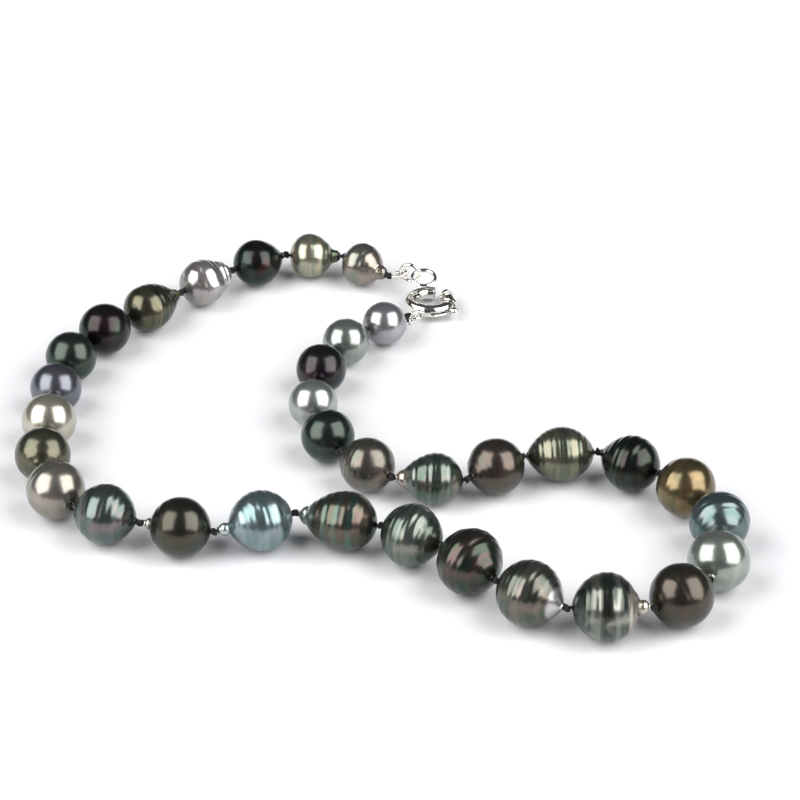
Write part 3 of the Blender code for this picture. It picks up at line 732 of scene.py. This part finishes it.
# ---------------------------------------------------------------- the strand
GROOVE_FADE = 0.45  # grooves fade where a pearl is thinner than this share of its radius
CROWDING = 0.35  # how far the outline's points crowd at both ends
SWELLINGS = ((3.4, 1.0), (1.2, 0.22))  # size in mm and strength of a pearl's unevenness


class Pearl:
    """One pearl's place from the joints beside it, and its outline."""

    def __init__(self, number, settings):
        self.number = number
        self.name = f"pearl_{number:02d}"
        self.settings = settings
        low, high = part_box(self.name)
        self.radius = (high.z - low.z) / 2
        shape = SHAPES[number - 1]
        self.belly, self.low_point, self.high_point = shape[:3]
        self.low_nib = [value * MM for value in shape[3] or (0.0, 0.0)]
        self.high_nib = [value * MM for value in shape[4] or (0.0, 0.0)]
        self.lumps = shape[5] * MM
        self.grooves = shape[6]
        self.find_place()

    def find_place(self):
        before = self.joint(self.number - 1)
        after = self.joint(self.number)
        if before is None:
            step = self.joint(2) - after
            self.heading = heading_of(step) - FIRST_TURN
        elif after is None:
            step = before - self.joint(self.number - 2)
            self.heading = heading_of(step) + LAST_TURN
        else:
            self.heading = heading_of(after - before)
        if before and after:
            self.length = (after - before).to_2d().length - self.settings.knot_gap
            self.centre = (before + after) / 2
        else:
            forward = along(self.heading)
            vertices = frame["nodes"][self.name].data.vertices
            places = [vertex.co.dot(forward) for vertex in vertices]
            self.length = max(places) - min(places)
            reach = forward * ((self.length + self.settings.knot_gap) / 2)
            self.centre = after - reach if after else before + reach
        self.centre.z = self.radius

    @staticmethod
    def joint(number):
        found = JOINTS.get(f"knot_{number:02d}")
        return Vector(found["pos_m"]) if found else None

    @property
    def matrix(self):
        return Matrix.Translation(self.centre) @ Matrix.Rotation(self.heading, 4, "Z")

    def knot(self, side):
        reach = (self.length + self.settings.knot_gap) / 2
        return self.centre + along(self.heading) * (side * reach)

    def outline(self, x):
        """Radius at x along the length, 0 at the low end."""
        low = self.low_nib[1]
        body = self.length - low - self.high_nib[1]
        widest = low + body * self.belly
        if x < widest:
            share = (widest - x) / (widest - low)
            point = self.low_point
        else:
            share = (x - widest) / (body * (1.0 - self.belly))
            point = self.high_point
        radius = self.radius * max(0.0, 1.0 - share * share) ** (0.5 + 0.5 * point)
        for size, off in (
            (self.low_nib[0], x - self.low_nib[0]),
            (self.high_nib[0], self.length - self.high_nib[0] - x),
        ):
            radius = max(radius, math.sqrt(max(0.0, size * size - off * off)))
        fade = min(1.0, radius / (GROOVE_FADE * self.radius))
        for place, depth, width in self.grooves:
            off = (x - place * self.length) / (width * MM * self.settings.groove_width)
            radius -= self.settings.groove * depth * MM * fade * math.exp(-off * off)
        return max(radius, self.settings.bore + self.settings.lip)

    def profile(self):
        """The outline from the low mouth to the high one, then back through the bore."""
        count = self.settings.stations
        points = []
        for i in range(count + 1):
            share = i / count
            turn = math.pi * (CROWDING * share + (1.0 - CROWDING) * self.ease(share))
            x = self.length * (0.5 - 0.5 * math.cos(turn))
            points.append(Vector((x - self.length / 2, 0.0, self.outline(x))))
        bore = [Vector((x * self.length / 2, 0.0, self.settings.bore)) for x in (1.0, 0.0, -1.0)]
        return points + bore + [points[0]]

    @staticmethod
    def ease(share):
        """Evens out the spacing that the cosine crowds at both ends."""
        return math.acos(1.0 - 2.0 * share) / math.pi


def strand(context):
    settings = context.scene.pearl_settings
    return [Pearl(i + 1, settings) for i in range(len(SHAPES))]


class STRAND_OT_pearls(bpy.types.Operator):
    """Turn each pearl with its grooves, drill it, and give it its own nacre"""

    bl_idname = "strand.pearls"
    bl_label = "Pearls"

    def execute(self, context):
        settings = context.scene.pearl_settings
        for pearl in strand(context):
            obj = turned(f"{pearl.name}_nacre", pearl.profile(), settings.sides)
            put(obj, pearl.matrix)
            self.make_uneven(obj, pearl)
            smooth(obj, 50.0)
            slot = f"nacre_{pearl.number:02d}"
            finish_piece(obj, nacre(pearl, settings), pearl.name, slot, pearl.name)
        return {"FINISHED"}

    def make_uneven(self, obj, pearl):
        """Low swellings on every pearl, and pits on the lumpiest."""
        for scale, share in SWELLINGS:
            texture = bpy.data.textures.new(f"{pearl.name}_{scale}", "CLOUDS")
            texture.noise_scale = scale * MM
            texture.noise_depth = 1
            settings = {"texture": texture, "texture_coords": "LOCAL", "mid_level": 0.5}
            refine(obj, "DISPLACE", strength=pearl.lumps * share, **settings)
            bpy.data.textures.remove(texture)


# ---------------------------------------------------------------- silk and French wire
KNOT_POINTS = 72
KNOT_ROLL = 1.7  # from one knot to the next, in radians


def knot_shape(settings):
    """A tight overhand knot with its axis along X."""
    thread = settings.knot * 0.30
    swing = (settings.knot - thread) / 3.0
    lift = settings.knot_half - thread
    points = []
    for i in range(KNOT_POINTS):
        t = math.tau * i / KNOT_POINTS
        across = (math.sin(t) + 2.0 * math.sin(2.0 * t)) * swing
        height = (math.cos(t) - 2.0 * math.cos(2.0 * t)) * swing
        points.append((-math.sin(3.0 * t) * lift, across, height))
    return swept("knot", points, thread, 2, cyclic=True)


def loop_points(centre, outward, aside, settings, steps=26):
    """The middle line of a gimp loop, from one mouth round the eye to the other."""
    mouth = centre + outward * settings.gimp_start
    eye = centre + outward * settings.eye_place
    points = [mouth - aside * settings.gimp_mouth]
    for i in range(steps + 1):
        turn = math.radians(-135.0 + 270.0 * i / steps)
        points.append(eye + (outward * math.cos(turn) + aside * math.sin(turn)) * settings.eye)
    points.append(mouth + aside * settings.gimp_mouth)
    return points


def coil_points(line, radius, pitch, per_turn):
    """A helix round a line of points."""
    lengths = [0.0]
    for a, b in zip(line, line[1:]):
        lengths.append(lengths[-1] + (b - a).length)
    count = int(lengths[-1] / pitch * per_turn)
    side = (line[1] - line[0]).orthogonal().normalized()
    points = []
    piece = 0
    for i in range(count + 1):
        reach = lengths[-1] * i / count
        while piece < len(line) - 2 and lengths[piece + 1] < reach:
            piece += 1
        share = (reach - lengths[piece]) / (lengths[piece + 1] - lengths[piece])
        forward = (line[piece + 1] - line[piece]).normalized()
        side = (side - forward * side.dot(forward)).normalized()
        turn = math.tau * i / per_turn
        spoke = side * math.cos(turn) + forward.cross(side) * math.sin(turn)
        points.append(line[piece].lerp(line[piece + 1], share) + spoke * radius)
    return points


def end_loops(context):
    """Name, body, line of each gimp loop."""
    settings = context.scene.silk_settings
    pearls = strand(context)
    loops = []
    for name, pearl, side, joint in (
        ("catch", pearls[0], -1, "end_ring_swing"),
        ("clasp", pearls[-1], 1, "clasp_swing"),
    ):
        start_point = pearl.knot(side)
        outward = (Vector(JOINTS[joint]["pos_m"]) - start_point).normalized()
        level = UP.cross(outward).normalized()
        aside = level if name == "catch" else outward.cross(level)
        loops.append((name, pearl.name, loop_points(start_point, outward, aside, settings)))
    return loops


class STRAND_OT_silk(bpy.types.Operator):
    """Tie a silk knot beside every pearl, and run the cord through the pearls and end loops"""

    bl_idname = "strand.silk"
    bl_label = "Silk"

    def execute(self, context):
        settings = context.scene.silk_settings
        material = silk_finish(settings.colour)
        pattern = knot_shape(settings)
        pearls = strand(context)
        for pearl in pearls:
            ends = [pearl.knot(-1), pearl.knot(1)]
            for i, other in ((0, pearl.number - 2), (1, pearl.number)):
                if 0 <= other < len(pearls):
                    ends[i].z = (pearl.radius + pearls[other].radius) / 2
            half = along(pearl.heading) * (pearl.length / 2)
            mouths = [pearl.centre - half, pearl.centre + half]
            cord = swept(f"silk_{pearl.number:02d}", [ends[0], *mouths, ends[1]], settings.cord, 2)
            pieces = [cord, self.tie(pattern, ends[1], pearl)]
            if pearl.number == 1:
                pieces.append(self.tie(pattern, ends[0], pearl))
            smooth(join(pieces), 60.0)
            finish_piece(cord, material, pearl.name, "silk", "silk_cord")
        for name, body, line in end_loops(context):
            loop = smooth(swept(f"silk_loop_{name}", line, settings.loop_cord, 2), 60.0)
            finish_piece(loop, material, body, "silk", "silk_cord")
        bpy.data.objects.remove(pattern, do_unlink=True)
        return {"FINISHED"}

    def tie(self, pattern, place, pearl):
        knot = pattern.copy()
        knot.data = pattern.data.copy()
        bpy.context.scene.collection.objects.link(knot)
        roll = Matrix.Rotation(pearl.number * KNOT_ROLL, 4, "X")
        return put(knot, Matrix.Translation(place) @ Matrix.Rotation(pearl.heading, 4, "Z") @ roll)


class STRAND_OT_gimp(bpy.types.Operator):
    """Coil the French wire over both end loops"""

    bl_idname = "strand.gimp"
    bl_label = "French wire"

    def execute(self, context):
        settings = context.scene.silk_settings
        material = silver_of(context)
        for name, body, line in end_loops(context):
            wire = settings.gimp_wire
            points = coil_points(line, settings.gimp - wire, wire * 2.05, 9)
            coil = smooth(swept(f"gimp_{name}_coil", points, wire, 1), 60.0)
            finish_piece(coil, material, body, "silver", f"gimp_{name}")
        return {"FINISHED"}


# ---------------------------------------------------------------- rings and clasp
class STRAND_OT_rings(bpy.types.Operator):
    """Bend the two loose rings and swell their soldered joins"""

    bl_idname = "strand.rings"
    bl_label = "Loose rings"

    def execute(self, context):
        settings = context.scene.clasp_settings
        material = silver_of(context)
        level = Vector(JOINTS["hook_ring_lift"]["axis"]).to_2d().to_3d().normalized()
        tilted = Vector((0.0, -math.sin(settings.tilt), math.cos(settings.tilt)))
        for name, radius, normal in (
            ("end_ring", settings.end_ring, level),
            ("hook_ring", settings.hook_ring, tilted),
        ):
            ring = self.bend(f"{name}_wire", radius, settings.wire)
            turn = normal.to_track_quat("Z", "X").to_matrix().to_4x4()
            put(ring, Matrix.Translation(middle(name)) @ turn)
            smooth(ring, 60.0)
            finish_piece(ring, material, name, "silver", name)
        return {"FINISHED"}

    def bend(self, name, radius, wire):
        ring = start(
            name,
            bpy.ops.mesh.primitive_torus_add,
            major_radius=radius,
            minor_radius=wire * 0.93,
            major_segments=96,
            minor_segments=20,
        )
        edit(ring)
        for reach, swell in ((0.16, 0.015 * MM), (0.08, 0.012 * MM), (0.03, -0.02 * MM)):
            pick(ring, "verts", lambda vertex: abs(math.atan2(vertex.co.y, vertex.co.x)) < reach)
            bpy.ops.transform.shrink_fatten(value=swell)
        bpy.ops.object.mode_set(mode="OBJECT")
        return ring


SLOT_HALF = 0.45 * MM  # half the slot's width
SLOT_MARGIN = math.radians(8.0)  # the slot beyond the lever's travel, at each end
COLLAR_LENGTH = math.radians(12.0)
COLLAR_STEP = math.radians(1.0)  # from the mouth's edge to the collar
COLLAR_CLEAR = 0.1 * MM
COLLAR_WALL = 0.25 * MM
EYELET_WIRE = 0.3 * MM
EYELET_CLEAR = 0.1 * MM
STEM = 0.26 * MM
SPRING_START = math.radians(-203.0)
SPRING_CLEAR = math.radians(2.0)
SPRING_TURNS = 11
SPRING_RADIUS = 0.5 * MM
SPRING_WIRE = 0.09 * MM
CREASE = math.radians(50.0)  # edges sharper than this are bevelled


def clasp_matrix():
    """The clasp's own frame: X away from the eyelet, Z up through the ring."""
    trigger = JOINTS["clasp_trigger"]
    centre = Vector(trigger["pos_m"])
    up = -Vector(trigger["axis"]).normalized()
    across = centre - middle("clasp_eyelet")
    across = (across - up * across.dot(up)).normalized()
    side = up.cross(across)
    turn = Matrix((across, side, up)).transposed().to_4x4()
    return Matrix.Translation(centre) @ turn


class STRAND_OT_clasp(bpy.types.Operator):
    """Model the bolt ring: slotted tube, collars, eyelet, bolt with its lever, and spring"""

    bl_idname = "strand.clasp"
    bl_label = "Bolt ring"

    def execute(self, context):
        settings = context.scene.clasp_settings
        silver = silver_of(context)
        steel = steel_finish()
        pieces = (
            (self.tube(settings), silver, "clasp", "silver", "clasp_tube"),
            (self.collar("socket_collar", settings, 1), silver, "clasp", "silver", "socket_collar"),
            (self.collar("mouth_collar", settings, -1), silver, "clasp", "silver", "mouth_collar"),
            (self.eyelet(settings), silver, "clasp", "silver", "clasp_eyelet"),
            (self.bolt(settings), silver, "clasp_bolt", "silver", "clasp_bolt"),
            (self.spring(settings), steel, "clasp", "spring_steel", "clasp_spring"),
        )
        place = clasp_matrix()
        for obj, material, body, slot, node in pieces:
            put(obj, place)
            finish_piece(smooth(obj), material, body, slot, node)
        return {"FINISHED"}

    def tube(self, settings):
        ends = settings.mouth[1], settings.mouth[0] + math.tau
        tube = arc_tube("clasp_tube_shell", settings.ring, settings.tube, *ends, 32, 120)
        first = settings.lever - settings.travel - SLOT_MARGIN
        last = settings.lever + SLOT_MARGIN

        def in_slot(face):
            place = face.calc_center_median()
            turn = math.atan2(place.y, place.x)
            outside = place.to_2d().length > settings.ring
            reached = any(first < angle < last for angle in (turn, turn - math.tau))
            return outside and abs(place.z) < SLOT_HALF and reached

        edit(tube, "FACE")
        pick(tube, "faces", in_slot)
        bpy.ops.mesh.delete(type="FACE")
        bpy.ops.object.mode_set(mode="OBJECT")
        refine(tube, "SOLIDIFY", thickness=settings.tube - settings.tube_bore, offset=-1.0)
        return self.ease_edges(tube, 0.05 * MM, 2)

    def ease_edges(self, obj, width, segments):
        limit = {"limit_method": "ANGLE", "angle_limit": CREASE}
        return refine(obj, "BEVEL", width=width, segments=segments, **limit)

    def collar(self, node, settings, side):
        """A sleeve beside the mouth: side 1 at its socket edge, -1 at the other."""
        first = settings.mouth[1] + COLLAR_STEP
        if side < 0:
            first = settings.mouth[0] - COLLAR_STEP - COLLAR_LENGTH
        inner = settings.tube + COLLAR_CLEAR
        ends = first, first + COLLAR_LENGTH
        collar = arc_tube(f"{node}_sleeve", settings.ring, inner, *ends, 32, 10)
        refine(collar, "SOLIDIFY", thickness=COLLAR_WALL, offset=1.0)
        return self.ease_edges(collar, 0.07 * MM, 3)

    def eyelet(self, settings):
        wire = EYELET_WIRE
        reach = settings.ring + settings.tube + EYELET_CLEAR + settings.eyelet + wire
        ring = start(
            "clasp_eyelet_ring",
            bpy.ops.mesh.primitive_torus_add,
            major_radius=settings.eyelet,
            minor_radius=wire,
            major_segments=64,
            minor_segments=16,
        )
        edit(ring)

        def at_joint(vertex):
            return vertex.co.x > settings.eyelet + wire * 0.2 and abs(vertex.co.y) < wire * 1.6

        pick(ring, "verts", at_joint)
        bpy.ops.transform.translate(value=(0.12 * MM, 0.0, 0.0))
        bpy.ops.object.mode_set(mode="OBJECT")
        return put(ring, Matrix.Translation((-reach, 0.0, 0.0)))

    def bolt(self, settings):
        back, tip = settings.bolt_ends
        bolt = arc_tube("clasp_bolt_pin", settings.ring, settings.bolt, back, tip, 24, 40)
        close_ends(bolt)
        self.ease_edges(bolt, 0.16 * MM, 4)
        outward = along(settings.lever)
        end = outward * (settings.ring + settings.ball_reach)
        stem = swept("stem", [outward * settings.ring, end], STEM, 3)
        ball = start(
            "ball",
            bpy.ops.mesh.primitive_uv_sphere_add,
            segments=32,
            ring_count=20,
            radius=settings.ball,
            location=end,
        )
        put(ball)
        return join([bolt, stem, ball])

    def spring(self, settings):
        last = settings.bolt_ends[0] - SPRING_CLEAR
        per_turn = 14
        count = SPRING_TURNS * per_turn
        points = []
        for i in range(count + 1):
            turn = math.tau * i / per_turn
            outward = along(SPRING_START + (last - SPRING_START) * i / count)
            lift = UP * math.sin(turn) * SPRING_RADIUS
            points.append(outward * (settings.ring + math.cos(turn) * SPRING_RADIUS) + lift)
        return swept("clasp_spring_coil", points, SPRING_WIRE, 2)


# ---------------------------------------------------------------- stage
FLOOR_DROP = 0.05 * MM
PALE = 0.93  # the backdrop, as the camera sees it past the floor
ROOM = ((0.0, 0.20), (0.08, 0.07), (0.5, 0.05), (1.0, 0.10))  # height and brightness
ROOM_TINT = (1.0, 1.03, 1.15)


class STRAND_OT_stage(bpy.types.Operator):
    """Lay the floor, hang the lights and set the camera"""

    bl_idname = "strand.stage"
    bl_label = "Stage"

    def execute(self, context):
        settings = context.scene.stage_settings
        floor = start(
            "floor",
            bpy.ops.mesh.primitive_plane_add,
            size=settings.floor,
            location=(0.0, 0.0, -FLOOR_DROP),
        )
        put(floor)
        floor.data.materials.append(floor_finish())
        target = Vector(settings.target)
        for name, side in (("window_left", -1), ("window_right", 1)):
            mirror = Vector((side, 1.0, 1.0))
            place = Vector(settings.window_place) * mirror
            self.hang(name, place, Vector(settings.window_lean) * mirror, settings, target)
        self.light_room(context, settings)
        self.aim_camera(context, settings, target)
        return {"FINISHED"}

    def hang(self, name, place, upright, settings, target):
        """A tall soft window that faces the target and leans back."""
        data = bpy.data.lights.new(name, "AREA")
        data.shape = "RECTANGLE"
        data.size, data.size_y = settings.window
        data.energy = settings.key
        light = bpy.data.objects.new(name, data)
        bpy.context.scene.collection.objects.link(light)
        light.location = place
        back = (place - target).normalized()
        across = upright.cross(back).normalized()
        light.rotation_euler = Matrix((across, back.cross(across), back)).transposed().to_euler()

    def light_room(self, context, settings):
        world = bpy.data.worlds.new("room")
        context.scene.world = world
        world.use_nodes = True
        tree = world.node_tree
        back = tree.nodes["Background"]
        place = tree.nodes.new("ShaderNodeTexCoord")
        split = tree.nodes.new("ShaderNodeSeparateXYZ")
        ramp = tree.nodes.new("ShaderNodeValToRGB")
        seen = tree.nodes.new("ShaderNodeLightPath")
        pale = tree.nodes.new("ShaderNodeMix")
        pale.data_type = "RGBA"
        pale.inputs[7].default_value = (PALE, PALE, PALE, 1.0)
        tree.links.new(place.outputs["Generated"], split.inputs[0])
        tree.links.new(split.outputs["Z"], ramp.inputs[0])
        tree.links.new(seen.outputs["Is Camera Ray"], pale.inputs[0])
        tree.links.new(ramp.outputs[0], pale.inputs[6])
        tree.links.new(pale.outputs[2], back.inputs["Color"])
        elements = ramp.color_ramp.elements
        while len(elements) < len(ROOM):
            elements.new(0.5)
        for element, (height, bright) in zip(elements, ROOM):
            element.position = height
            element.color = (*(bright * share for share in ROOM_TINT), 1.0)
        back.inputs["Strength"].default_value = settings.room
        context.scene.view_settings.view_transform = "Standard"

    def aim_camera(self, context, settings, target):
        data = bpy.data.cameras.new("camera")
        data.sensor_width = 36.0
        data.lens = data.sensor_width / 2 / math.tan(settings.angle / 2)
        data.clip_start = 0.01
        data.clip_end = 20.0
        camera = bpy.data.objects.new("camera", data)
        context.scene.collection.objects.link(camera)
        back = Vector((0.0, -math.cos(settings.elevation), math.sin(settings.elevation)))
        camera.location = target + back * settings.distance
        camera.rotation_euler = (-back).to_track_quat("-Z", "Y").to_euler()
        context.scene.camera = camera


# ---------------------------------------------------------------- panel and registration
class STRAND_PT_panel(bpy.types.Panel):
    """Steps and settings of the strand"""

    bl_idname = "STRAND_PT_panel"
    bl_label = "Circled Pearl Strand"
    bl_space_type = "VIEW_3D"
    bl_region_type = "UI"
    bl_category = "Pearls"

    def draw(self, context):
        scene = context.scene
        for title, group, operators in (
            ("Pearls", scene.pearl_settings, ("strand.pearls",)),
            ("Silk and French wire", scene.silk_settings, ("strand.silk", "strand.gimp")),
            ("Rings and clasp", scene.clasp_settings, ("strand.rings", "strand.clasp")),
            ("Stage", scene.stage_settings, ("strand.stage",)),
        ):
            box = self.layout.box()
            box.label(text=title)
            for name in group.__annotations__:
                box.prop(group, name)
            for operator in operators:
                box.operator(operator)


GROUPS = {
    "pearl_settings": PearlSettings,
    "silk_settings": SilkSettings,
    "clasp_settings": ClaspSettings,
    "stage_settings": StageSettings,
}
OPERATORS = (
    STRAND_OT_pearls,
    STRAND_OT_silk,
    STRAND_OT_gimp,
    STRAND_OT_rings,
    STRAND_OT_clasp,
    STRAND_OT_stage,
)


def register():
    for kind in (*GROUPS.values(), *OPERATORS, STRAND_PT_panel):
        bpy.utils.register_class(kind)
    for name, group in GROUPS.items():
        setattr(bpy.types.Scene, name, bpy.props.PointerProperty(type=group))


def unregister():
    for name in GROUPS:
        delattr(bpy.types.Scene, name)
    for kind in (STRAND_PT_panel, *reversed(OPERATORS), *reversed(GROUPS.values())):
        bpy.utils.unregister_class(kind)


def main():
    register()
    bpy.ops.strand.pearls()
    bpy.ops.strand.silk()
    bpy.ops.strand.gimp()
    bpy.ops.strand.rings()
    bpy.ops.strand.clasp()
    bpy.ops.strand.stage()


if __name__ == "__main__":
    main()
